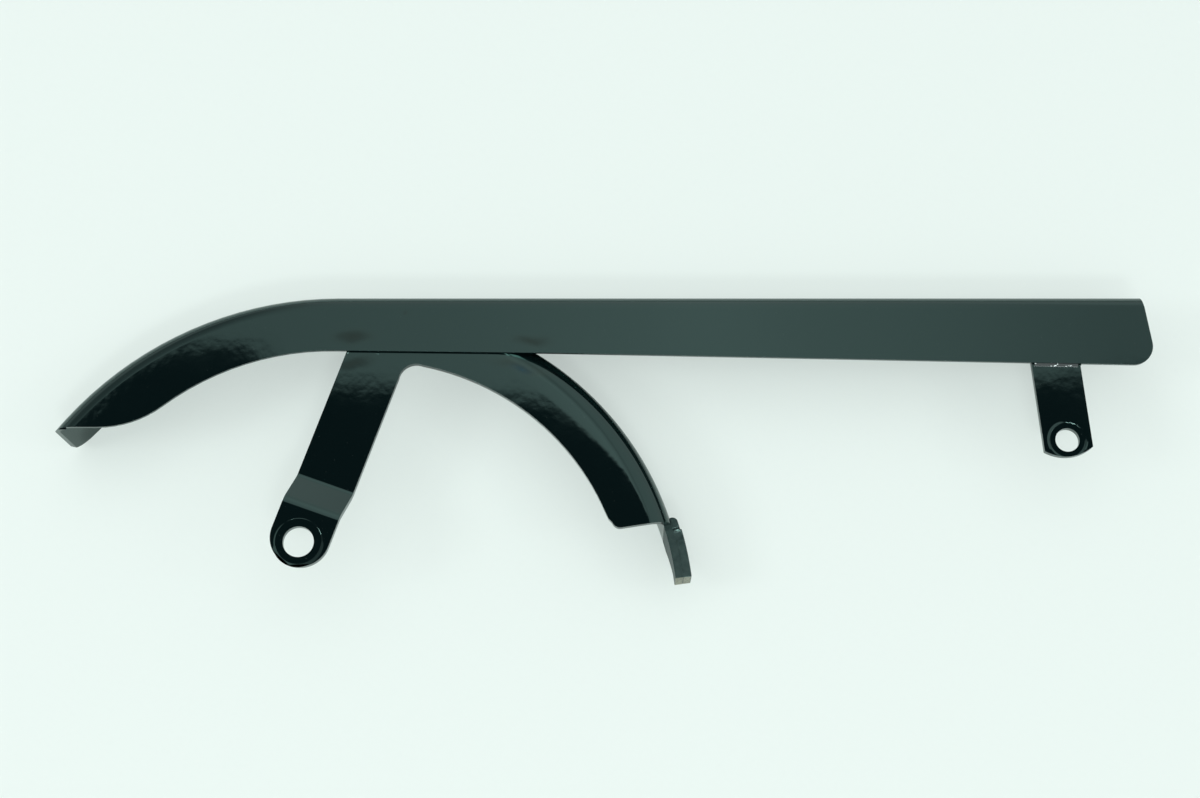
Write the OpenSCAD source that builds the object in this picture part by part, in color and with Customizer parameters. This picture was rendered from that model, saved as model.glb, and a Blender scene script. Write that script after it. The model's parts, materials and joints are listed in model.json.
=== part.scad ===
// Motorcycle belt guard, lying on its flange edges with the side wall up.
// Units mm. +X runs from the nose towards the tail, +Y towards the top flange,
// +Z out of the side wall along the bolt axes.
// Origin: centre of the arm's hole on the tab's outer face.

/* [Cover] */
// Sheet thickness of the pressed cover
cover_t = 2; // [1.6:0.1:2.4]
// Height of the cover's top above the arm hole
cover_top = 142.2; // [141:0.2:144]
// Depth of the top flange, from the wall's face to its far edge
cover_depth = 52; // [50:1:56]
// Outside radius of the rolled top edge
roll_r = 9; // [7:0.5:10]
// Inward lean of the flange at its far edge
flange_lean = 1.5; // [0.5:0.5:2.5]
// Where the nose sweep starts, along X
nose_x = 16; // [14:1:18]
// Outside radius of the nose sweep
nose_r = 193.2; // [192:0.4:195]
// Height of the cut end of the nose
nose_end = 65.3; // [64:0.1:66]
// Radius of the flange's far corner at each end
flange_corner_r = 16; // [12:1:18]
// Radius of the sweep along the wall's lower edge
under_r = 148.8; // [148:0.4:149.6]
// Place of that sweep's centre along X
under_x = 13.2; // [12:0.4:14]
// Height of that sweep's top
under_top = 109.7; // [109:0.1:110]
// Radius of the drooping leaf at the nose
leaf_r = 57; // [55:1:60]
// Height of the leaf's lowest point
leaf_low = 66; // [66:0.1:66.4]
// Place where the lower edge starts to slope, along X
slope_x = 131.7; // [125:1:140]
// Height of the lower edge where the slope starts
slope_y = 108.3; // [108:0.1:108.8]
// Height of the lower edge at the tail
tail_y = 101.3; // [101:0.1:102]
// Length from the arm hole to the tail end
tail_x = 470; // [466:1:474]
// Slant of the tail end
tail_slant = 9; // [7:0.5:11]
// Radius of the wall's lower corner at the tail
tail_corner_r = 11; // [9:0.5:13]

/* [Arm and shield] */
// Thickness of the stamped arm and shield plate
plate_t = 4.2; // [3.6:0.1:4.6]
// How far the plate laps behind the wall, from the lower edge at the arm
plate_lap = 11.4; // [9:0.2:12]
// Width of the arm
arm_w = 32.5; // [31:0.5:34]
// Lean of the arm away from the upright
arm_tilt = 19.6; // [18:0.4:21]
// Hole in the arm's tab
arm_hole_d = 16.8; // [16:0.2:17.6]
// Distance from the hole to the centre of the tab's round end
tab_over = 2.7; // [2:0.1:3.4]
// Radius of the pressed seat round the arm hole
arm_seat_r = 13.4; // [12.6:0.2:14]
// Depth of the pressed seats
seat_depth = 0.5; // [0.3:0.1:0.8]
// Offset of the tab from the plate, towards the outside
joggle_drop = 12; // [10:0.5:13]
// Slope of that offset
joggle_a = 38; // [35:1:42]
// Outside bend radius of that offset
joggle_r = 8; // [7:0.5:9]
// Distance from the hole to the start of the offset
joggle_at = 17.8; // [17:0.2:19]
// Centre of the arc shield along X
shield_x = 35.3; // [35:0.1:36]
// Centre of the arc shield along Y
shield_y = -35.9; // [-36.4:0.1:-35.4]
// Radius of the shield's open edge
shield_in = 140.8; // [140:0.4:141.6]
// Outside radius of the shield's flange
shield_out = 173.5; // [172:0.5:175]
// Outside radius of the shield's bend
shield_bend_r = 13; // [12:0.5:14]
// Radius of the inner corner between arm and shield
inner_corner_r = 9.5; // [8:0.5:11]
// Height of the shield face's cut end at the open edge
face_end_y = 10.6; // [9.6:0.2:11.6]
// Slope of that cut
face_end_a = 9; // [7:0.5:11]
// Radius of the face's lower corner
face_corner_r = 4.6; // [3.5:0.1:5.5]
// Angle round the arc at which the flange tongue ends
tongue_end_a = 7; // [6:0.2:8]
// Angle round the arc at which the flange starts to taper
taper_a = 14.6; // [14:0.2:15.4]

/* [End lug] */
// Thickness of the lug strap
lug_t = 4.7; // [4:0.1:5.2]
// Depth of the lug strap
lug_depth = 20; // [18:0.5:22]
// Angle round the arc at which the lug starts
lug_start_a = 18.2; // [17.6:0.2:19]
// Angle round the arc at which the lug's outer face steps out
lug_step_a = 15.7; // [15:0.1:16.4]
// Height of that step
lug_step = 0.8; // [0.5:0.1:1.2]
// Radius of the lug's upper corner
lug_corner_r = 3; // [2:0.5:3.5]

/* [Tail bracket] */
// Thickness of the tail bracket strap
tail_t = 4; // [3.5:0.1:4.5]
// Width of the tail bracket
tail_w = 26.7; // [26:0.1:28]
// Lean of the tail bracket
tail_tilt = 5.6; // [4.6:0.2:6.6]
// Hole in the tail bracket
tail_hole_d = 13.2; // [12.6:0.2:13.8]
// Distance of the tail hole from the wall's lower corner, along X
tail_hole_in = 51.5; // [49:0.5:54]
// Tail hole along Y
tail_hole_y = 59.3; // [58:0.1:60]
// Radius of the pressed seat round the tail hole
tail_seat_r = 10.7; // [10.1:0.2:11.3]
// Distance from the tail hole to the bracket's end
tail_end = 9.4; // [9:0.1:10.2]
// Radius of the bracket's end
tail_end_r = 23; // [21:0.5:25]
// How far the bracket laps behind the wall
tail_lap = 20; // [16:1:24]

/* [Hidden] */
$fn = 96;
black = [0.03, 0.03, 0.03];
grey = [0.18, 0.19, 0.19];
// How far a cutting tool reaches past what it cuts
past = 1;
// How far two joined shapes of one solid reach into each other
hair = 0.03;
// Half the width of a pressed seat's slope
seat_run = 1.2;

// Heights along Z
z_plate = -joggle_drop;
z_wall = z_plate + cover_t;
z_low = z_wall - cover_depth;
bend_gap = 0.5;
z_tongue = z_plate - shield_bend_r - bend_gap;

// Centres in the plan
nose_cy = cover_top - nose_r;
under_cy = under_top - under_r;
leaf_cy = leaf_low + leaf_r;
leaf_cx = under_x - sqrt(pow(under_r + leaf_r, 2) - pow(leaf_cy - under_cy, 2));
leaf_k = under_r / (under_r + leaf_r);
leaf_tx = under_x + (leaf_cx - under_x) * leaf_k;
leaf_ty = under_cy + (leaf_cy - under_cy) * leaf_k;
nose_a = 180 - asin((nose_end - nose_cy) / nose_r);
plate_top = under_top + plate_lap;
edge_a = atan2(slope_y - tail_y, tail_x - slope_x);
tail_hole_x = tail_x - tail_hole_in;

// Inner corner between arm and shield
ic_u = arm_w / 2 + inner_corner_r;
ic_bx = ic_u * cos(arm_tilt) - shield_x;
ic_by = -ic_u * sin(arm_tilt) - shield_y;
ic_d = ic_bx * sin(arm_tilt) + ic_by * cos(arm_tilt);
ic_s = -ic_d + sqrt(ic_d * ic_d - ic_bx * ic_bx - ic_by * ic_by + pow(shield_in - inner_corner_r, 2));
ic_x = shield_x + ic_bx + ic_s * sin(arm_tilt);
ic_y = shield_y + ic_by + ic_s * cos(arm_tilt);
ic_a = atan2(ic_y - shield_y, ic_x - shield_x);

// Centre of the shield with the arm turned upright
arm_sx = shield_x * cos(arm_tilt) - shield_y * sin(arm_tilt);
arm_sy = shield_x * sin(arm_tilt) + shield_y * cos(arm_tilt);

// Points of an arc
function arc(cx, cy, r, a0, a1, n) =
    [for (i = [0:n]) [cx + r * cos(a0 + (a1 - a0) * i / n), cy + r * sin(a0 + (a1 - a0) * i / n)]];

// Section of the cover's sheet, outside radius r along X, wall face at height 0
module sheet_section(r, reach) {
    translate([r - reach, -cover_t]) square([reach - roll_r, cover_t]);
    intersection() {
        difference() {
            translate([r - roll_r, -roll_r]) circle(r = roll_r);
            translate([r - roll_r, -roll_r]) circle(r = roll_r - cover_t);
        }
        translate([r - roll_r, -roll_r]) square(roll_r + past);
    }
    polygon([[r - cover_t, -roll_r], [r, -roll_r],
        [r - flange_lean, -cover_depth], [r - flange_lean - cover_t, -cover_depth]]);
}

// Everything in the plan that lies below the wall's lower edge
module below_wall() {
    translate([under_x, under_cy]) circle(r = under_r, $fn = 180);
    difference() {
        polygon([[leaf_cx, under_cy - under_r], [leaf_cx, leaf_cy], [leaf_tx, leaf_ty],
            [under_x, under_cy], [under_x, under_cy - under_r]]);
        translate([leaf_cx, leaf_cy]) circle(r = leaf_r, $fn = 180);
    }
    polygon([[-2 * nose_r, under_cy - under_r], [leaf_cx, under_cy - under_r],
        [leaf_cx, leaf_low], [-2 * nose_r, leaf_low]]);
    polygon([[under_x, under_cy - under_r], [under_x, under_top], [slope_x, slope_y], [tail_x, tail_y],
        [tail_x + cover_depth, tail_y - cover_depth * tan(edge_a)],
        [tail_x + cover_depth, under_cy - under_r]]);
}

// Tool that rounds a corner of a sheet: axis along X, corner at the origin,
// material on the side of negative Y and positive Z
module corner_tool(r, wide) {
    difference() {
        translate([-wide / 2, -r, -5]) cube([wide, r + 5, r + 5]);
        translate([-wide / 2 - 1, -r, r]) rotate([0, 90, 0]) cylinder(r = r, h = wide + 2);
    }
}

// In the plan, what a round of radius r takes off the wall's lower corner at the
// tail. Corner at the origin, slanted end along Y, lower edge rising by rise degrees.
module tail_corner(r, rise) {
    yc = r * (1 + sin(rise)) / cos(rise);
    tx = -r - r * sin(rise);
    ty = yc - r * cos(rise);
    difference() {
        polygon([[-r, yc], [r, yc], [r, -r], [tx - r * sin(rise), ty - r * cos(rise)]]);
        translate([-r, yc]) circle(r = r);
    }
}

module cover() {
    end_x = tail_x - (cover_top - tail_y) * tan(tail_slant);
    color(black)
    difference() {
        translate([0, 0, z_wall]) union() {
            translate([nose_x, nose_cy, 0]) rotate([0, 0, 90])
                rotate_extrude(angle = 60, $fn = 360) sheet_section(nose_r, 1.5 * cover_depth);
            translate([nose_x, nose_cy, 0]) rotate([90, 0, 90])
                linear_extrude(height = tail_x - nose_x + cover_depth) sheet_section(nose_r, cover_depth);
        }
        translate([0, 0, z_wall - cover_t - past]) linear_extrude(height = cover_t + 2 * past) below_wall();
        // the nose's cut end
        translate([-2 * nose_r, nose_end - nose_r, z_low - past])
            cube([2 * nose_r + nose_x - cover_depth, nose_r, cover_depth + 2 * past]);
        // the slanted tail end
        translate([tail_x, tail_y, z_low - past]) rotate([0, 0, tail_slant])
            translate([0, -cover_depth, 0]) cube([2 * cover_depth, 3 * cover_depth, cover_depth + 2 * past]);
        // the wall's lower corner at the tail
        translate([tail_x, tail_y, z_wall - cover_t - past]) rotate([0, 0, tail_slant])
            linear_extrude(height = cover_t + 2 * past) tail_corner(tail_corner_r, tail_slant + edge_a);
        // rounded far corners of the flange
        translate([nose_x + nose_r * cos(nose_a), nose_end, z_low]) rotate([0, 0, nose_a])
            corner_tool(flange_corner_r, 24);
        translate([end_x, cover_top, z_low]) rotate([0, 0, -90]) mirror([1, 0, 0])
            corner_tool(flange_corner_r, 24);
    }
}

// Side view of a strap that steps up towards the outside.
// X runs along the strap from its outer end, Y is height. Front face at 0 near the
// end and at -drop beyond the step.
module step_section(from, at, to, drop, slope, ro, t) {
    ri = ro - t;
    len = (drop - (ro + ri) * (1 - cos(slope))) / sin(slope);
    run = (ro + ri) * sin(slope) + len * cos(slope);
    a = slope / 8;
    polygon(concat(
        [[from, 0], [at, 0]],
        arc(at, -ro, ro, 90 - a, 90 - slope, 7),
        arc(at + run, -drop + ri, ri, 270 - slope, 270 - a, 7),
        [[at + run, -drop], [to, -drop], [to, -drop - t], [at + run, -drop - t]],
        arc(at + run, -drop + ri, ro, 270 - a, 270 - slope, 7),
        arc(at, -ro, ri, 90 - slope, 90 - a, 7),
        [[at, -t], [from, -t]]));
}

// The whole plate in the plan, turned so that the arm stands upright
module plate_plan() {
    difference() {
        union() {
            difference() {
                translate([arm_sx, arm_sy]) circle(r = shield_out - shield_bend_r, $fn = 240);
                translate([arm_sx, arm_sy]) circle(r = shield_in, $fn = 240);
                translate([-arm_w / 2 - 2 * shield_out, -2 * shield_out])
                    square([2 * shield_out, 4 * shield_out]);
                rotate([0, 0, arm_tilt]) translate([-shield_out, face_end_y - 2.6 - 2 * shield_out])
                    square([3 * shield_out, 2 * shield_out]);
            }
            translate([-arm_w / 2, tab_over]) square([arm_w, shield_out]);
            translate([0, tab_over]) circle(r = arm_w / 2);
            rotate([0, 0, arm_tilt]) inner_corner_block();
        }
        rotate([0, 0, arm_tilt]) translate([ic_x, ic_y]) circle(r = inner_corner_r + 5 * hair);
        rotate([0, 0, arm_tilt]) translate([-shield_out, plate_top]) square([3 * shield_out, shield_out]);
    }
}

// Everything in the plan below the cut end of the shield's face
module below_face() {
    translate([shield_x + shield_in, face_end_y]) rotate([0, 0, face_end_a])
        translate([-60, -60]) square([140, 60]);
}

// Section of the shield, radius along X, front face at height 0
module shield_section() {
    depth = z_plate - z_low;
    face = 2 * plate_t;
    translate([shield_out - shield_bend_r - face, -plate_t]) square([face, plate_t]);
    intersection() {
        difference() {
            translate([shield_out - shield_bend_r, -shield_bend_r]) circle(r = shield_bend_r);
            translate([shield_out - shield_bend_r, -shield_bend_r]) circle(r = shield_bend_r - plate_t);
        }
        translate([shield_out - shield_bend_r, -shield_bend_r]) square(shield_bend_r + past);
    }
    translate([shield_out - plate_t, -depth]) square([plate_t, depth - shield_bend_r]);
}

// Pressed seat round a hole: a shallow dish in front
module seat_dish(r) {
    translate([0, 0, -seat_depth]) cylinder(r1 = r - seat_run, r2 = r + seat_run, h = 2 * seat_depth);
}

// The same seat's rise on the back of a strap of thickness t, a hair inside it
module seat_rise(r, t) {
    translate([0, 0, -t - seat_depth])
        cylinder(r1 = r - seat_run, r2 = r + hair * seat_run / seat_depth, h = seat_depth + hair);
}

module arm_shield() {
    color(black)
    rotate([0, 0, -arm_tilt]) difference() {
        union() {
            // plate with its stepped tab
            intersection() {
                translate([0, 0, z_low]) linear_extrude(height = past - z_low) plate_plan();
                translate([-arm_w, 0, 0]) rotate([90, 0, 90]) linear_extrude(height = 2 * shield_out)
                    step_section(-arm_w, joggle_at, 2 * shield_out, joggle_drop, joggle_a,
                        joggle_r, plate_t);
            }
            // rise behind the seat
            seat_rise(arm_seat_r, plate_t);
            // bend and flange of the arc shield
            translate([arm_sx, arm_sy, z_plate]) rotate([0, 0, tongue_end_a + arm_tilt])
                rotate_extrude(angle = 84, $fn = 240) shield_section();
        }
        // hole and seat
        translate([0, 0, -2 * plate_t]) cylinder(d = arm_hole_d, h = 3 * plate_t);
        seat_dish(arm_seat_r);
        rotate([0, 0, arm_tilt]) {
            // top edge, hidden behind the wall
            translate([-shield_out, plate_top, z_low - past])
                cube([3 * shield_out, shield_out, cover_depth + 4 * past]);
            // the face and bend stop at the cut end, the flange goes on as a tongue
            translate([0, 0, z_tongue]) linear_extrude(height = shield_bend_r + 3)
                intersection() {
                    below_face();
                    translate([shield_x + shield_in - 30, -60]) square([100, 140]);
                }
            face_corner();
            taper_tool();
        }
    }
}

// Block that fills the inner corner, before its round is cut
module inner_corner_block() {
    a_arm = 180 - arm_tilt;
    a_mid = (a_arm + ic_a) / 2;
    far = inner_corner_r + 6;
    polygon([[ic_x, ic_y],
        [ic_x + far * cos(ic_a), ic_y + far * sin(ic_a)],
        [ic_x + 1.35 * far * cos(a_mid), ic_y + 1.35 * far * sin(a_mid)],
        [ic_x + far * cos(a_arm), ic_y + far * sin(a_arm)]]);
}

// Rounds the lower corner between the open edge and the face's cut end
module face_corner() {
    px = shield_x + sqrt(pow(shield_in, 2) - pow(face_end_y - shield_y, 2));
    translate([px, face_end_y + (px - shield_x - shield_in) * tan(face_end_a), z_plate - plate_t - 1])
        rotate([0, 0, face_end_a])
        linear_extrude(height = plate_t + 2)
        difference() {
            translate([-6, -3]) square([face_corner_r + 6 + 2, face_corner_r * 0.8 + 3]);
            translate([face_corner_r + 1, face_corner_r]) circle(r = face_corner_r);
            translate([face_corner_r + 1, -4]) square([20, 20]);
        }
}

// Cuts the flange's far edge away towards the end of the tongue
module taper_tool() {
    a_mid = tongue_end_a + (taper_a - tongue_end_a) * 0.3;
    z_end = z_tongue - lug_depth;
    p0 = [shield_x + shield_out * cos(taper_a), shield_y + shield_out * sin(taper_a)];
    p1 = [shield_x + shield_out * cos(a_mid), shield_y + shield_out * sin(a_mid)];
    s = sqrt(pow(p1[0] - p0[0], 2) + pow(p1[1] - p0[1], 2));
    dir = atan2(p1[1] - p0[1], p1[0] - p0[0]);
    translate([p0[0], p0[1], 0]) rotate([0, 0, dir]) rotate([90, 0, 0])
        translate([0, 0, -14]) linear_extrude(height = 28)
        polygon([[0, z_low], [s, z_end], [s + 30, z_end], [s + 30, z_low - 10], [-5, z_low - 10]]);
}

module end_lug() {
    color(grey)
    difference() {
        translate([shield_x, shield_y, z_tongue - lug_depth]) rotate([0, 0, tongue_end_a])
            rotate_extrude(angle = lug_start_a - tongue_end_a, $fn = 360)
            translate([shield_out, 0]) square([lug_t, lug_depth]);
        // the outer face steps back towards the upper end
        translate([shield_x, shield_y, z_tongue - lug_depth - 1]) rotate([0, 0, lug_step_a])
            rotate_extrude(angle = 8, $fn = 360)
            translate([shield_out + lug_t - lug_step, 0]) square([5, lug_depth + 2]);
        // rounded upper corner
        translate([shield_x, shield_y, z_tongue - lug_depth - 1]) rotate([0, 0, lug_start_a])
            translate([shield_out + lug_t - lug_step - lug_corner_r, -lug_corner_r, 0])
            linear_extrude(height = lug_depth + 2)
            difference() {
                square([lug_corner_r + 2, lug_corner_r + 2]);
                circle(r = lug_corner_r);
            }
    }
}

// Tail bracket in the plan, hole at the origin, as far as reach
module tail_plan(reach) {
    intersection() {
        translate([-tail_w / 2, -tail_end - past]) square([tail_w, tail_end + reach + past]);
        union() {
            translate([0, tail_end_r - tail_end]) circle(r = tail_end_r);
            translate([-tail_w / 2, tail_end_r - tail_end - tail_w / 2])
                square([tail_w, tail_end_r + reach]);
        }
    }
}

module tail_bracket() {
    edge_y = slope_y - (tail_hole_x - slope_x) * tan(edge_a);
    reach = (edge_y - tail_hole_y) / cos(tail_tilt) + tail_lap;
    color(black)
    translate([tail_hole_x, tail_hole_y, z_plate]) rotate([0, 0, tail_tilt]) difference() {
        union() {
            translate([0, 0, -tail_t]) linear_extrude(height = tail_t) tail_plan(reach);
            seat_rise(tail_end - 10 * hair, tail_t);
        }
        translate([0, 0, -2 * tail_t]) cylinder(d = tail_hole_d, h = 3 * tail_t);
        seat_dish(tail_seat_r);
    }
}

cover();
arm_shield();
tail_bracket();
end_lug();
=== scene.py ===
# %% [markdown]
# A motorcycle belt guard in gloss black paint. It is a pressed cover with a rolled
# top edge, a stamped plate that is both the mounting arm and an arc shaped shield,
# a small bracket near the tail and a forged lug at the shield's end. The packed
# model gives every size and place, so the first cell loads it and keeps its box.

# %% Load the frame
import json
import math

import bmesh
import bpy
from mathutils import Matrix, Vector


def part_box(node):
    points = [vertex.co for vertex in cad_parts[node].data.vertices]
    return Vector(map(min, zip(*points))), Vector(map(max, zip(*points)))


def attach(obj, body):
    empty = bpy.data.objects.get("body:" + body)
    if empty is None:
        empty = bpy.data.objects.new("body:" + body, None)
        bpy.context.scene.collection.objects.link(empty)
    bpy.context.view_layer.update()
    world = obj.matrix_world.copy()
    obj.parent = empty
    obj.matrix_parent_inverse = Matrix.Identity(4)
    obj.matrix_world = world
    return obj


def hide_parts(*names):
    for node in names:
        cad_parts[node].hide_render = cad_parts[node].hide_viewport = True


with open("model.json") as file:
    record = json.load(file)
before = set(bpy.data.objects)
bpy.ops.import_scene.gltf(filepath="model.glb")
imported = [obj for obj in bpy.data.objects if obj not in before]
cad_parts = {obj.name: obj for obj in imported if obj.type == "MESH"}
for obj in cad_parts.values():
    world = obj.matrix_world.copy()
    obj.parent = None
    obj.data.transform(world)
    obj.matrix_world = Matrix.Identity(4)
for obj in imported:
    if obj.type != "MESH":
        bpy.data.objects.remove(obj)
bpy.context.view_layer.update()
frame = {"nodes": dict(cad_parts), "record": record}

MM = 0.001
FLOOR_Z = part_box("cover")[0].z

# %% [markdown]
# Blender's operators act on everything that is selected, and the loaded nodes start
# selected. These helpers clear the selection and take one object, and apply what its
# modifiers made, so that the finished shape is in the mesh itself.

# %% Helpers for selection
def take(piece):
    """Makes piece the only selected object, in object mode."""
    if bpy.context.mode != "OBJECT":
        bpy.ops.object.mode_set(mode="OBJECT")
    bpy.ops.object.select_all(action="DESELECT")
    piece.select_set(True)
    bpy.context.view_layer.objects.active = piece


def apply_all(piece):
    """Applies the modifiers of a piece from the top down."""
    take(piece)
    for modifier in list(piece.modifiers):
        bpy.ops.object.modifier_apply(modifier=modifier.name)


# %% [markdown]
# Sheet metal that is cut, bent and dipped in paint has no sharp edge anywhere: the
# paint pulls back from the corners and leaves a fine round line that catches the
# light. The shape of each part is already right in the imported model, so a copy of it
# is merged, its flat faces are joined into one, and a bevel gives the round. The
# normals are then weighted by the area of the faces, so that a large flat face still
# mirrors like a flat one right up to its round.

# %% Copy a solid and round its edges
def copy_solid(node, name):
    """A merged copy of a solid, its flat faces joined."""
    source = frame["nodes"][node]
    piece = bpy.data.objects.new(name, source.data.copy())
    bpy.context.scene.collection.objects.link(piece)
    piece.data.materials.clear()
    take(piece)
    bpy.ops.object.mode_set(mode="EDIT")
    bpy.ops.mesh.select_all(action="SELECT")
    bpy.ops.mesh.remove_doubles(threshold=0.002 * MM)
    bpy.ops.mesh.dissolve_limited(angle_limit=math.radians(0.2))
    bpy.ops.object.mode_set(mode="OBJECT")
    return piece


def round_edges(piece, edge, segments=3, sharp=32):
    """Rounds every edge sharper than sharp degrees by edge, in metres."""
    bevel = piece.modifiers.new("edge", "BEVEL")
    bevel.width = edge
    bevel.segments = segments
    bevel.limit_method = "ANGLE"
    bevel.angle_limit = math.radians(sharp)
    apply_all(piece)


def shade(piece):
    """Smooth shading in which a large flat face stays flat up to its edge."""
    take(piece)
    bpy.ops.object.shade_smooth()
    weighted = piece.modifiers.new("flat faces", "WEIGHTED_NORMAL")
    weighted.mode = "FACE_AREA"
    weighted.weight = 50
    weighted.thresh = 0.001
    apply_all(piece)


def join_frame(piece, *nodes):
    """Rides the piece on the body and hides the solids it stands for."""
    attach(piece, "root")
    if nodes:
        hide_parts(*nodes)
    print(piece.name, "has", len(piece.data.polygons), "faces")


cover = copy_solid("cover", "pressed_cover")
round_edges(cover, 0.6 * MM, 4)
shade(cover)
join_frame(cover, "cover")

# %% [markdown]
# Each bolt hole sits in a shallow pressed seat. In the paint its rim shows as a thin
# bright ring, because it is not a crease but a small round. The rim is found by its
# distance from the hole's axis and gets a bevel of its own.

# %% The arm and shield plate, and the tail strap
SEAT_ROUND = 0.7 * MM
WHOLE_RING = 1.0


def soften_seat(piece, mount, radius, top, reach=WHOLE_RING):
    """Rounds the rim of the seat round a hole, down to reach radii below its centre."""
    x, y, _ = next(m["pos_m"] for m in frame["record"]["mounts"] if m["name"] == mount)
    take(piece)
    bpy.ops.object.mode_set(mode="EDIT")
    bpy.ops.mesh.select_mode(type="VERT")
    bpy.ops.mesh.select_all(action="DESELECT")
    mesh = bmesh.from_edit_mesh(piece.data)
    rim = []
    for point in mesh.verts:
        away = math.hypot(point.co.x - x, point.co.y - y)
        clear = reach == WHOLE_RING or point.co.y - y > -reach * radius
        if clear and abs(away - radius) < 0.06 * MM and abs(point.co.z - top) < 0.1 * MM:
            point.select_set(True)
            rim.append(point)
    mesh.select_flush(True)
    for edge in mesh.edges:  # a long edge between two points of the rim crosses the plate
        if edge.select and edge.calc_length() > 3 * MM:
            edge.select_set(False)
    bmesh.update_edit_mesh(piece.data)
    bpy.ops.mesh.select_mode(type="EDGE")
    bpy.ops.mesh.bevel(offset=SEAT_ROUND, segments=3, profile=0.5, affect="EDGES")
    bpy.ops.object.mode_set(mode="OBJECT")
    print(piece.name, "has a seat rim of", len(rim), "points")


# the shield's cut end has a tiny notch at its inner corner, which is drawn smooth here
NOTCH = (167.4 * MM, 12.9 * MM)
SMOOTH_CORNER = (166.75 * MM, 15.2 * MM)
ARM_SEAT_R = 13.4 * MM
TAB_FACE = 0.0

shield = copy_solid("arm_shield", "arm_and_shield")
for point in shield.data.vertices:
    if math.hypot(point.co.x - NOTCH[0], point.co.y - NOTCH[1]) < 0.35 * MM:
        point.co.x, point.co.y = SMOOTH_CORNER
soften_seat(shield, "arm_hole", ARM_SEAT_R, TAB_FACE)
round_edges(shield, 1.2 * MM, 5)
shade(shield)
join_frame(shield, "arm_shield")

# the strap's seat runs off the end of the strap, so its rim is rounded only above that
TAIL_SEAT_R = 10.7 * MM
STRAP_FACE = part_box("tail_bracket")[1].z

bracket = copy_solid("tail_bracket", "tail_strap")
soften_seat(bracket, "tail_hole", TAIL_SEAT_R, STRAP_FACE, reach=0.55)
round_edges(bracket, 1.1 * MM, 5)
shade(bracket)
join_frame(bracket, "tail_bracket")

# %% [markdown]
# The lug at the shield's lower end is forged. A cross groove and a shallow thumb
# sized hollow were struck into its upper side. Each is cut by a tool: a thin rod laid
# across the lug, and a squashed ball sunk into it.

# %% The lug with its groove and hollow
def cut(piece, tool):
    """Cuts the tool out of the piece and deletes the tool."""
    boolean = piece.modifiers.new("cut", "BOOLEAN")
    boolean.operation = "DIFFERENCE"
    boolean.solver = "EXACT"
    boolean.object = tool
    apply_all(piece)
    bpy.data.objects.remove(tool)


lug = copy_solid("end_lug", "forged_lug")
round_edges(lug, 0.7 * MM)
lug_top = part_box("end_lug")[1].z
bpy.ops.object.select_all(action="DESELECT")
bpy.ops.mesh.primitive_uv_sphere_add(segments=48, ring_count=24, radius=1.0)
hollow = bpy.context.object
hollow.scale = (3.1 * MM, 3.6 * MM, 1.5 * MM)
hollow.rotation_euler.z = math.radians(15)
hollow.location = (204.9 * MM, 8.9 * MM, lug_top + 0.7 * MM)
cut(lug, hollow)
bpy.ops.mesh.primitive_cylinder_add(vertices=24, radius=0.8 * MM, depth=12 * MM)
groove = bpy.context.object
groove.rotation_euler = (0, math.radians(90), math.radians(16))
groove.location = (204.5 * MM, 12.9 * MM, lug_top + 0.35 * MM)
cut(lug, groove)
shade(lug)
join_frame(lug, "end_lug")

# %% [markdown]
# Paint pools where the tail strap comes out from behind the wall and dries as a
# fillet. It starts as a block along the joint whose free edge is lowered to a wedge,
# so that its one slope catches the front light as a bright strip. Its reflections are
# tinted whiter than the rest of the paint, a painted highlight that makes the strip white.

# %% The fillet at the tail strap
EDGE_FALL = 0.0207


def wall_edge(x):
    """The y of the wall's lower edge at x, between the arm and the tail."""
    return 108.3 * MM - (x - 131.7 * MM) * EDGE_FALL


def fillet(name, x0, x1, reach, top):
    """A sloping fillet from the wall's edge onto the strap, between x0 and x1."""
    bpy.ops.object.select_all(action="DESELECT")
    bpy.ops.mesh.primitive_cube_add(size=1.0)
    piece = bpy.context.object
    piece.name = name
    sunk = 0.2 * MM  # how far it goes into the strap
    tall = top - STRAP_FACE + sunk
    middle = (x0 + x1) / 2
    piece.scale = (x1 - x0, reach + 0.6 * MM, tall)
    piece.location = (middle, wall_edge(middle) + 0.3 * MM - reach / 2, STRAP_FACE - sunk + tall / 2)
    piece.rotation_euler.z = -math.atan(EDGE_FALL)
    bpy.ops.object.transform_apply(location=True, rotation=True, scale=True)
    low = min(v.co.y for v in piece.data.vertices) + 0.8 * MM
    for point in piece.data.vertices:
        if point.co.y < low and point.co.z > STRAP_FACE:
            point.co.z = STRAP_FACE + 0.15 * MM
    round_edges(piece, 0.12 * MM, 2, 20)
    shade(piece)
    join_frame(piece)
    return piece


strap_fillet = fillet("strap_fillet", 402.2 * MM, 426.4 * MM, 1.6 * MM, STRAP_FACE + 1.15 * MM)

# %% [markdown]
# Welding throws small drops of metal, and three of them stayed beside the joints, under
# the paint. Each starts as a ball that is made a little uneven and then squashed onto
# the plate. The seed is fixed, so the drops are the same in every run.

# %% Weld drops beside the joints
def bead(name, x, y, base, length, turn, seed):
    """A small lump of weld, squashed onto the plate and a little uneven."""
    bpy.ops.object.select_all(action="DESELECT")
    bpy.ops.mesh.primitive_ico_sphere_add(subdivisions=3, radius=1.0)
    piece = bpy.context.object
    piece.name = name
    bpy.ops.object.mode_set(mode="EDIT")
    bpy.ops.mesh.select_all(action="SELECT")
    bpy.ops.transform.vertex_random(offset=0.06, uniform=0.4, normal=0.6, seed=seed)
    bpy.ops.mesh.vertices_smooth(factor=0.5, repeat=2)
    bpy.ops.object.mode_set(mode="OBJECT")
    piece.scale = (length / 2, length * 0.28, length * 0.24)
    piece.rotation_euler.z = math.radians(turn)
    piece.location = (x, y, base)
    bpy.ops.object.transform_apply(location=True, rotation=True, scale=True)
    shade(piece)
    join_frame(piece)
    return piece


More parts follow.
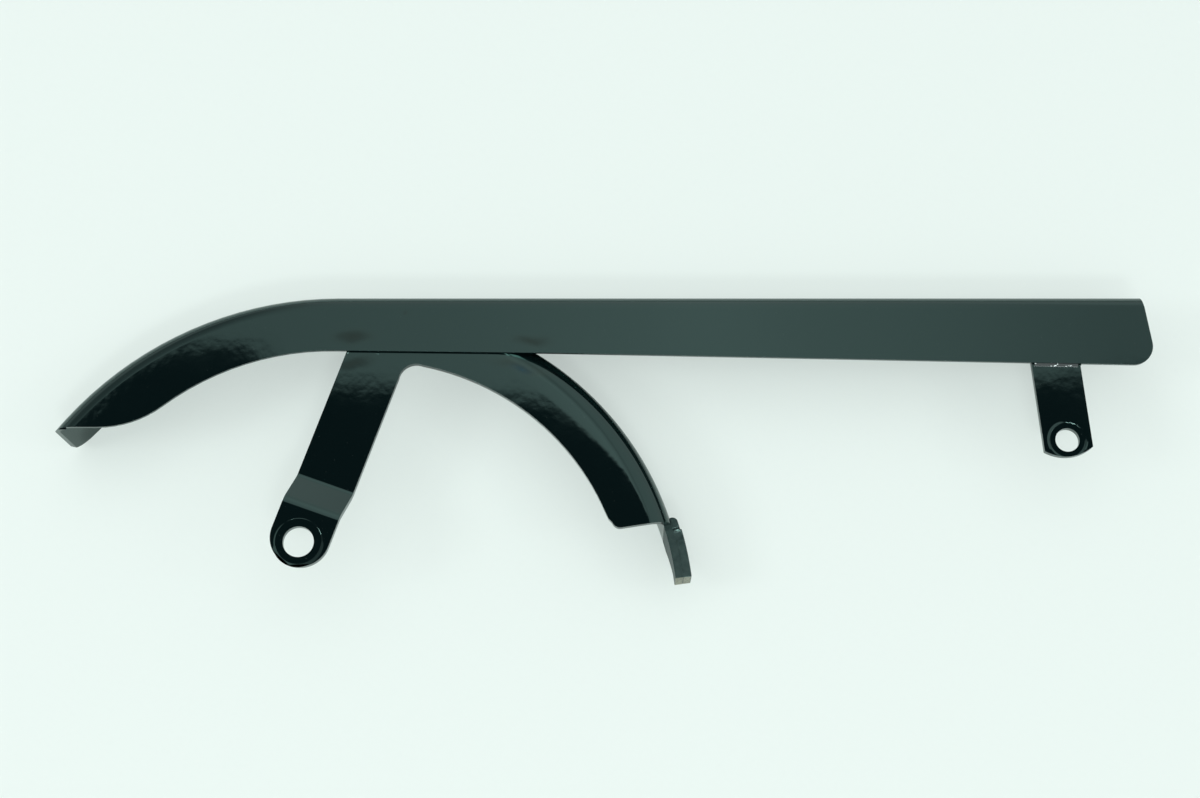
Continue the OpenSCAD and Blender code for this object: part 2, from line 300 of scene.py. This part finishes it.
PLATE_FACE = -12 * MM
TAIL_DROP_X = 427.6 * MM
beads = [bead("weld_bead_left", 22.6 * MM, 109.0 * MM, PLATE_FACE, 2.2 * MM, 20, 3),
         bead("weld_bead_right", 39.2 * MM, 108.5 * MM, PLATE_FACE, 1.8 * MM, -15, 5),
         bead("weld_bead_tail", TAIL_DROP_X, wall_edge(TAIL_DROP_X) - 0.5 * MM, STRAP_FACE, 1.6 * MM, 30, 8)]

# %% [markdown]
# The finish is one thick gloss black coat over primer. Such paint mirrors about a
# twentieth of what is in front of it and is nearly black below that. It is never quite
# flat: waves a few millimetres long, far too shallow to see, make the edge of every
# reflection ragged. Their height is only a few thousandths of a millimetre.

# %% Helpers for node materials
def new_material(name):
    """An empty node material with its shader and output."""
    mat = bpy.data.materials.new(name)
    mat.use_nodes = True
    nodes = mat.node_tree.nodes
    shader = nodes["Principled BSDF"]
    return mat, nodes, mat.node_tree.links, shader


def place_of(nodes):
    """The object coordinates of the shaded point."""
    return nodes.new("ShaderNodeTexCoord").outputs["Object"]


def noise(nodes, links, place, size, detail=3.0, rough=0.5):
    """Noise with waves of about size metres."""
    node = nodes.new("ShaderNodeTexNoise")
    node.inputs["Scale"].default_value = 1.0 / size
    node.inputs["Detail"].default_value = detail
    node.inputs["Roughness"].default_value = rough
    links.new(place, node.inputs["Vector"])
    return node.outputs["Fac"]


def ramp(nodes, links, value, stops):
    """A value turned into another by straight steps between stops of (at, value)."""
    node = nodes.new("ShaderNodeValToRGB")
    while len(node.color_ramp.elements) < len(stops):
        node.color_ramp.elements.new(0.5)
    for element, (at, level) in zip(node.color_ramp.elements, stops):
        element.position = at
        element.color = (level, level, level, 1.0)
    links.new(value, node.inputs["Fac"])
    return node.outputs["Color"]


def math_node(nodes, links, operation, a, b=None):
    """One sum on one or two values, each a socket or a number."""
    node = nodes.new("ShaderNodeMath")
    node.operation = operation
    for socket, value in zip(node.inputs, (a, b)):
        if value is None:
            continue
        if isinstance(value, (int, float)):
            socket.default_value = value
        else:
            links.new(value, socket)
    return node.outputs["Value"]


def mix_colour(nodes, links, amount, first, second):
    """Two colours mixed by amount, each a socket or a plain colour."""
    node = nodes.new("ShaderNodeMix")
    node.data_type = "RGBA"
    links.new(amount, node.inputs["Factor"])
    for socket, value in ((node.inputs["A"], first), (node.inputs["B"], second)):
        if isinstance(value, tuple):
            socket.default_value = (*value, 1.0)
        else:
            links.new(value, socket)
    return node.outputs["Result"]


def bump(nodes, links, height, depth, under=None):
    """Tiny relief: height times depth in metres."""
    node = nodes.new("ShaderNodeBump")
    node.inputs["Strength"].default_value = 1.0
    node.inputs["Distance"].default_value = depth
    links.new(height, node.inputs["Height"])
    if under is not None:
        links.new(under, node.inputs["Normal"])
    return node.outputs["Normal"]


# %% [markdown]
# The spot welds have scorched the paint from behind: soft brown smears on the wall and
# the arm, and on the shield one with a blue heart. Each is an ellipse that fades out,
# and noise pushes its place about so that its outline is uneven. The paint is duller
# there, so the smear also dims what it mirrors.

# %% Gloss black paint
def spot(nodes, links, place, centre, radii, turn):
    """1 at a point of the part, fading to 0 at an ellipse round it."""
    mapping = nodes.new("ShaderNodeMapping")
    mapping.vector_type = "TEXTURE"
    mapping.inputs["Location"].default_value = (centre[0] * MM, centre[1] * MM, 0.0)
    mapping.inputs["Rotation"].default_value = (0.0, 0.0, math.radians(turn))
    mapping.inputs["Scale"].default_value = (radii[0] * MM, radii[1] * MM, 1.0)
    links.new(place, mapping.inputs["Vector"])
    length = nodes.new("ShaderNodeVectorMath")
    length.operation = "LENGTH"
    links.new(mapping.outputs["Vector"], length.inputs[0])
    level = ramp(nodes, links, length.outputs["Value"], [(0.0, 1.0), (0.1, 1.0), (1.0, 0.0)])
    return math_node(nodes, links, "POWER", level, 1.5)


def wobble(nodes, links, place, size, reach):
    """The place pushed about by noise of a size, by up to half of reach."""
    node = nodes.new("ShaderNodeTexNoise")
    node.inputs["Scale"].default_value = 1.0 / size
    node.inputs["Detail"].default_value = 1.0
    links.new(place, node.inputs["Vector"])
    centred = nodes.new("ShaderNodeVectorMath")
    centred.operation = "SUBTRACT"
    links.new(node.outputs["Color"], centred.inputs[0])
    centred.inputs[1].default_value = (0.5, 0.5, 0.5)
    scaled = nodes.new("ShaderNodeVectorMath")
    scaled.operation = "SCALE"
    links.new(centred.outputs["Vector"], scaled.inputs[0])
    scaled.inputs["Scale"].default_value = reach
    moved = nodes.new("ShaderNodeVectorMath")
    moved.operation = "ADD"
    links.new(place, moved.inputs[0])
    links.new(scaled.outputs["Vector"], moved.inputs[1])
    return moved.outputs["Vector"]


BLACK = (0.0016, 0.0050, 0.0056)
BROWN = (0.0080, 0.0062, 0.0036)
RUST = (0.0120, 0.0084, 0.0046)
BLUE = (0.0018, 0.0170, 0.0330)
PAINT_IOR = 1.68
PAINT_TINT = (0.62, 1.0, 0.93, 1.0)
# heat marks over the welds: centre and radii in mm, turn, colour and depth
WALL_MARKS = (((24.8, 117.6), (17.0, 6.0), 0, BROWN, 0.62),
              ((124.5, 115.2), (17.0, 4.6), -4, BROWN, 0.62),
              ((54.9, 131.0), (4.0, 2.2), 40, BROWN, 0.4))
PLATE_MARKS = (((27.0, 103.2), (15.0, 5.5), 8, BROWN, 0.5),
               ((119.5, 100.6), (24.0, 4.6), -14, RUST, 0.75),
               ((119.0, 99.8), (10.5, 3.4), -10, BLUE, 0.8))
# the shield's arc in mm: its centre, and where its crown starts, its bend starts and the crown ends
ARC_CENTRE = (35.3, -35.9)
CROWN_START, BEND_START, CROWN_END = 153.0, 160.5, 163.5


def crown(nodes, links, place):
    """The press leaves the shield slightly crowned beside its bend: a fall of 0.07 mm."""
    centred = nodes.new("ShaderNodeVectorMath")
    centred.operation = "SUBTRACT"
    links.new(place, centred.inputs[0])
    centred.inputs[1].default_value = (ARC_CENTRE[0] * MM, ARC_CENTRE[1] * MM, 0.0)
    flat = nodes.new("ShaderNodeVectorMath")
    flat.operation = "MULTIPLY"
    links.new(centred.outputs["Vector"], flat.inputs[0])
    flat.inputs[1].default_value = (1.0, 1.0, 0.0)
    length = nodes.new("ShaderNodeVectorMath")
    length.operation = "LENGTH"
    links.new(flat.outputs["Vector"], length.inputs[0])
    shares = []
    for start, end in ((CROWN_START, BEND_START), (BEND_START, CROWN_END)):
        span = nodes.new("ShaderNodeMapRange")
        span.inputs["From Min"].default_value = start * MM
        span.inputs["From Max"].default_value = end * MM
        links.new(length.outputs["Value"], span.inputs["Value"])
        shares.append(span.outputs["Result"])
    first = math_node(nodes, links, "POWER", shares[0], 2.5)
    easing = math_node(nodes, links, "SUBTRACT", 1.0, math_node(nodes, links, "MULTIPLY", shares[1], 0.5))
    last = math_node(nodes, links, "MULTIPLY", shares[1], easing)
    return math_node(nodes, links, "MULTIPLY", math_node(nodes, links, "ADD", first, last), -1.0)


def gloss_black(name, marks=(), crowned=False, ripple=0.0):
    """Gloss black paint with its shallow waves, heat marks and dust."""
    mat, nodes, links, shader = new_material(name)
    shader.inputs["IOR"].default_value = PAINT_IOR
    shader.inputs["Specular Tint"].default_value = PAINT_TINT
    place = place_of(nodes)
    pushed = wobble(nodes, links, place, 0.016, 0.0070)
    colour = BLACK
    dull = None
    for centre, radii, turn, tone, depth in marks:
        amount = math_node(nodes, links, "MULTIPLY", spot(nodes, links, pushed, centre, radii, turn), depth)
        colour = mix_colour(nodes, links, amount, colour, tone)
        dull = amount if dull is None else math_node(nodes, links, "MAXIMUM", dull, amount)
    specks = noise(nodes, links, place, 0.0011, 1.0)
    dust = ramp(nodes, links, specks, [(0.0, 0.0), (0.765, 0.0), (0.79, 1.0)])
    dust = math_node(nodes, links, "MULTIPLY", dust, 0.35)
    colour = mix_colour(nodes, links, dust, colour, (0.05, 0.064, 0.06))
    links.new(colour, shader.inputs["Base Color"])
    smear = ramp(nodes, links, noise(nodes, links, place, 0.03, 4.0, 0.6), [(0.40, 0.020), (0.72, 0.042)])
    if dull is not None:
        smear = math_node(nodes, links, "ADD", smear, math_node(nodes, links, "MULTIPLY", dull, 0.30))
    links.new(smear, shader.inputs["Roughness"])
    normal = bump(nodes, links, crown(nodes, links, place), 0.066 * MM) if crowned else None
    for size, detail, height in ((24, 1.0, 0.020), (6, 1.5, 0.008), (1.6, 1.0, 0.0009)):
        waves = noise(nodes, links, place, size * MM, detail)
        normal = bump(nodes, links, waves, height * MM, normal)
    if ripple:
        normal = bump(nodes, links, noise(nodes, links, place, 4 * MM, 2.0), ripple, normal)
    links.new(normal, shader.inputs["Normal"])
    return mat


def retint(paint, tint):
    """Gives the reflections of a paint another tint."""
    paint.node_tree.nodes["Principled BSDF"].inputs["Specular Tint"].default_value = (*tint, 1.0)
    return paint


cover.data.materials.append(gloss_black("gloss_black_wall", WALL_MARKS))
shield.data.materials.append(gloss_black("gloss_black_plate", PLATE_MARKS, crowned=True))
strap_paint = gloss_black("gloss_black_strap")
bracket.data.materials.append(strap_paint)
# painted highlight: the fillet's reflections are tinted whiter than the rest of the paint, so that its strip
# shows white
fillet_highlight_paint = retint(gloss_black("gloss_black_fillet_painted_highlight", ripple=0.16 * MM), (0.9, 1.0, 1.0))
strap_fillet.data.materials.append(fillet_highlight_paint)
for piece in beads:
    piece.data.materials.append(strap_paint)

# %% [markdown]
# The lug has only a thin grey coat over rough steel, and its lower end has been
# filed bright, so that end face gets a second material.

# %% Satin grey and bare steel of the lug
def satin_grey(name):
    """A thin grey coat over forged steel, lighter where it is rubbed."""
    mat, nodes, links, shader = new_material(name)
    place = place_of(nodes)
    rub = ramp(nodes, links, noise(nodes, links, place, 0.0035, 4.0, 0.6), [(0.35, 0.0), (0.72, 1.0)])
    grey = mix_colour(nodes, links, rub, (0.011, 0.019, 0.019), (0.030, 0.044, 0.043))
    links.new(grey, shader.inputs["Base Color"])
    shader.inputs["Roughness"].default_value = 0.42
    shader.inputs["Specular Tint"].default_value = PAINT_TINT
    links.new(bump(nodes, links, noise(nodes, links, place, 0.0011, 3.0), 0.00006), shader.inputs["Normal"])
    return mat


def bare_steel(name):
    """Filed steel with an oily yellow cast."""
    mat, nodes, links, shader = new_material(name)
    place = place_of(nodes)
    patch = ramp(nodes, links, noise(nodes, links, place, 0.0016, 3.0, 0.6), [(0.35, 0.0), (0.65, 1.0)])
    steel = mix_colour(nodes, links, patch, (0.080, 0.078, 0.050), (0.30, 0.31, 0.22))
    links.new(steel, shader.inputs["Base Color"])
    shader.inputs["Roughness"].default_value = 0.42
    shader.inputs["Metallic"].default_value = 0.4
    return mat


END_TURN = math.radians(7)
END_WAY = Vector((math.sin(END_TURN), -math.cos(END_TURN), 0.0))
coat = satin_grey("satin_grey_coat")
filed = bare_steel("bare_steel_end")
for piece in (lug, shield):
    piece.data.materials.append(coat)
    piece.data.materials.append(filed)
for face in lug.data.polygons:
    if face.normal.dot(END_WAY) > 0.97:
        face.material_index = 1

# the shield's tongue under the lug has the same coat and the same filed end
TONGUE_TOP = Vector((190, 14.6, -25)) * MM
END_START = -10 * MM
tongue = 0
for face in shield.data.polygons:
    centre = face.center
    if centre.x > TONGUE_TOP.x and centre.y < TONGUE_TOP.y and centre.z < TONGUE_TOP.z:
        at_end = centre.y < END_START and face.normal.dot(END_WAY) > 0.97
        face.material_index = 2 if at_end else 1
        tongue += 1
print("tongue faces:", tongue)

# %% [markdown]
# Inside the cover the paint's reflections are tinted darker: painted shade for the shadowed table that these
# faces mirror. The inner faces are those that lie below the wall and look towards its open side.

# %% The cover's inner faces
# painted shade: the same gloss black with its reflections tinted darker
inside_shaded_paint = retint(gloss_black("gloss_black_inside_painted_shade"), (0.20, 0.62, 0.52))
cover.data.materials.append(inside_shaded_paint)
inner = 0
for face in cover.data.polygons:
    if face.center.z < -14 * MM and face.normal.y < -0.2 and face.normal.x > -0.3:
        face.material_index = 1
        inner += 1
print("inner faces of the cover:", inner)

# %% [markdown]
# The guard lies on a pale table. The floor is one large plane in the table's colour,
# and it is not joined to the part. The camera sees it partly by a glow of
# its own, so that the shadows on it stay as faint as on the photographed table. The
# paint mirrors it a little darker than the camera sees it.

# %% Floor
bpy.ops.mesh.primitive_plane_add(size=8.0, location=(0.16, 0.05, FLOOR_Z))
floor = bpy.context.object
floor.name = "floor"
bpy.ops.object.transform_apply(location=True, rotation=True, scale=True)
floor_mat, nodes, links, shader = new_material("pale_table")
light_path = nodes.new("ShaderNodeLightPath")
mirrored = light_path.outputs["Is Glossy Ray"]
tone = mix_colour(nodes, links, mirrored, (0.84, 0.905, 0.875), (0.70, 0.78, 0.75))
links.new(tone, shader.inputs["Base Color"])
shader.inputs["Roughness"].default_value = 0.75
shader.inputs["Specular IOR Level"].default_value = 0.2
glow = nodes.new("ShaderNodeEmission")
glow.inputs["Color"].default_value = (0.81, 0.905, 0.872, 1.0)
glow.inputs["Strength"].default_value = 0.96
table = nodes.new("ShaderNodeMixShader")
share = math_node(nodes, links, "MULTIPLY", light_path.outputs["Is Camera Ray"], 0.55)
links.new(share, table.inputs["Fac"])
links.new(shader.outputs["BSDF"], table.inputs[1])
links.new(glow.outputs["Emission"], table.inputs[2])
links.new(table.outputs["Shader"], nodes["Material Output"].inputs["Surface"])
floor.data.materials.append(floor_mat)

# %% [markdown]
# Gloss paint shows the room more than itself, so the room has to be right. What it
# mirrors is a pale tent, brightest towards the back. Straight above is the dark gap
# that the camera looks through, and its far edge is the ragged line where the paint
# turns from grey to black. The edge and the glow behind it were fitted to the
# reflections in the photograph. Only mirrored rays see this tent. As a lamp it would
# leave the table in a dip of light, so all other light comes from a plain sky that is
# brightest overhead, and the camera itself sees an even background.

# %% World and its helpers
world = bpy.data.worlds.new("pale_tent")
bpy.context.scene.world = world
world.use_nodes = True
nodes = world.node_tree.nodes
links = world.node_tree.links
background = nodes["Background"]


def soft_step(value, start, end):
    """0 before start, 1 after end, smooth between."""
    node = nodes.new("ShaderNodeMapRange")
    node.interpolation_type = "SMOOTHSTEP"
    node.inputs["From Min"].default_value = start
    node.inputs["From Max"].default_value = end
    links.new(value, node.inputs["Value"])
    return node.outputs["Result"]


def fit(value, slope, start):
    """value times slope plus start."""
    node = nodes.new("ShaderNodeMath")
    node.operation = "MULTIPLY_ADD"
    links.new(value, node.inputs[0])
    node.inputs[1].default_value = slope
    node.inputs[2].default_value = start
    return node.outputs["Value"]


def sky(operation, a, b=None):
    """One sum in the world's nodes."""
    return math_node(nodes, links, operation, a, b)


def by_place(value, stops, shape="LINEAR"):
    """A level read from stops of (place, level) along value, from -0.5 to 0.5."""
    node = nodes.new("ShaderNodeValToRGB")
    node.color_ramp.interpolation = shape
    while len(node.color_ramp.elements) < len(stops):
        node.color_ramp.elements.new(0.5)
    most = max(level for _, level in stops)
    for element, (place, level) in zip(node.color_ramp.elements, stops):
        element.position = place + 0.5
        element.color = (level / most, level / most, level / most, 1.0)
    links.new(fit(value, 1.0, 0.5), node.inputs["Fac"])
    return fit(node.outputs["Color"], most, 0.0)


# a direction as slopes from straight up, to the right and to the back, and as a turn aside
way = nodes.new("ShaderNodeSeparateXYZ")
links.new(nodes.new("ShaderNodeTexCoord").outputs["Generated"], way.inputs["Vector"])
up = sky("MAXIMUM", way.outputs["Z"], 0.02)
across = sky("DIVIDE", way.outputs["X"], up)
back = sky("DIVIDE", way.outputs["Y"], up)
arc = sky("SQRT", sky("ADD", sky("POWER", way.outputs["Y"], 2.0), sky("POWER", up, 2.0)))
aside = sky("DIVIDE", way.outputs["X"], arc)
above_floor = soft_step(way.outputs["Z"], 0.0, 0.06)

# %% The tent's back wall
FAR_EDGE = ((-0.30, 0.235), (-0.228, 0.2553), (-0.205, 0.2784), (-0.184, 0.288), (-0.160, 0.2885),
            (-0.118, 0.2705), (-0.097, 0.2690), (-0.025, 0.2630), (-0.001, 0.2530), (0.06, 0.250),
            (0.191, 0.2725), (0.215, 0.2725), (0.30, 0.285))
GLOW = ((-0.40, 0.30), (-0.28, 0.45), (-0.19, 0.72), (-0.15, 0.78), (-0.05, 0.90), (0.02, 1.08),
        (0.05, 1.14), (0.09, 0.99), (0.15, 0.92), (0.205, 0.70), (0.24, 0.68), (0.40, 0.86))
beyond = sky("SUBTRACT", back, by_place(across, FAR_EDGE))
hot = by_place(aside, GLOW, "B_SPLINE")
high = fit(soft_step(back, 1.0, 2.2), -0.1, 1.0)
far_side = sky("MULTIPLY", soft_step(beyond, 0.0, 0.010), sky("MULTIPLY", hot, high))

# %% The tent's front, with a bright strip over the front lamp
strip = sky("MULTIPLY", soft_step(back, -0.72, -0.80), soft_step(back, -1.45, -1.25))
strip = fit(sky("MULTIPLY", strip, soft_step(sky("ABSOLUTE", across), 0.65, 0.45)), 22.0, 0.0)
front = fit(sky("MULTIPLY", soft_step(back, -0.38, -0.50), soft_step(back, -1.6, -1.2)), 0.9, 0.0)
near_side = fit(soft_step(back, -0.40, -0.58), 0.4, 0.0)
near_side = sky("ADD", sky("ADD", near_side, front), strip)

# %% The tent's sides, and the whole of it
low = fit(soft_step(across, 0.9, 2.2), -0.45, 1.0)
right_side = sky("MULTIPLY", fit(soft_step(across, 0.27, 0.40), 0.86, 0.0), low)
left_side = fit(soft_step(across, -0.45, -1.7), 0.60, 0.0)
level = sky("MAXIMUM", sky("MAXIMUM", far_side, near_side), sky("MAXIMUM", right_side, left_side))
level = sky("MULTIPLY", fit(level, 1.0, 0.015), above_floor)

# light that isn't mirrored comes from a plain sky, brightest overhead
overhead = sky("MULTIPLY", fit(soft_step(way.outputs["Z"], 0.55, 0.95), 1.02, 0.44), above_floor)
rays = nodes.new("ShaderNodeLightPath")


def choose(ray, normally, then):
    """then for one kind of ray and normally for the others."""
    node = nodes.new("ShaderNodeMix")
    links.new(rays.outputs[ray], node.inputs["Factor"])
    links.new(normally, node.inputs["A"])
    if isinstance(then, float):
        node.inputs["B"].default_value = then
    else:
        links.new(then, node.inputs["B"])
    return node.outputs["Result"]


strength = choose("Is Camera Ray", choose("Is Glossy Ray", overhead, level), 0.9)
links.new(strength, background.inputs["Strength"])
ROOM_TINT = (0.955, 1.0, 0.985)
background.inputs["Color"].default_value = (*ROOM_TINT, 1.0)

# %% [markdown]
# Three weak soft lamps give the shadows their direction. The strongest stands far off
# at the left, so most shadows fall softly to the right.

# %% Lamps
MIDDLE = Vector((0.16, 0.05, -0.05))


def soft_box(name, place, width, height, watts):
    """A rectangular soft lamp at place that faces the middle of the part."""
    bpy.ops.object.light_add(type="AREA", location=place)
    lamp = bpy.context.object
    lamp.name = name
    lamp.data.shape = "RECTANGLE"
    lamp.data.size = width
    lamp.data.size_y = height
    lamp.data.energy = watts
    lamp.data.color = ROOM_TINT
    lamp.rotation_euler = (MIDDLE - Vector(place)).to_track_quat("-Z", "Y").to_euler()


soft_box("box_left", (-2.1, -0.3, 2.0), 0.7, 0.7, 15)
soft_box("box_right", (2.4, -0.3, 2.0), 0.5, 0.5, 5)
soft_box("box_front", (0.3, -1.15, 2.1), 0.36, 0.22, 9)

# %% [markdown]
# The camera stands where the photograph's did: about 1.3 metres above the table and
# tilted by 15 degrees, with a longer lens than normal.

# %% Camera
bpy.ops.object.camera_add(location=(0.1621, -0.2546, 1.2457), rotation=(math.radians(15), 0, 0))
camera = bpy.context.object
camera.name = "camera"
camera.data.lens = 70.92
camera.data.sensor_width = 36
camera.data.clip_end = 20
bpy.context.scene.camera = camera
bpy.context.scene.view_settings.view_transform = "Standard"
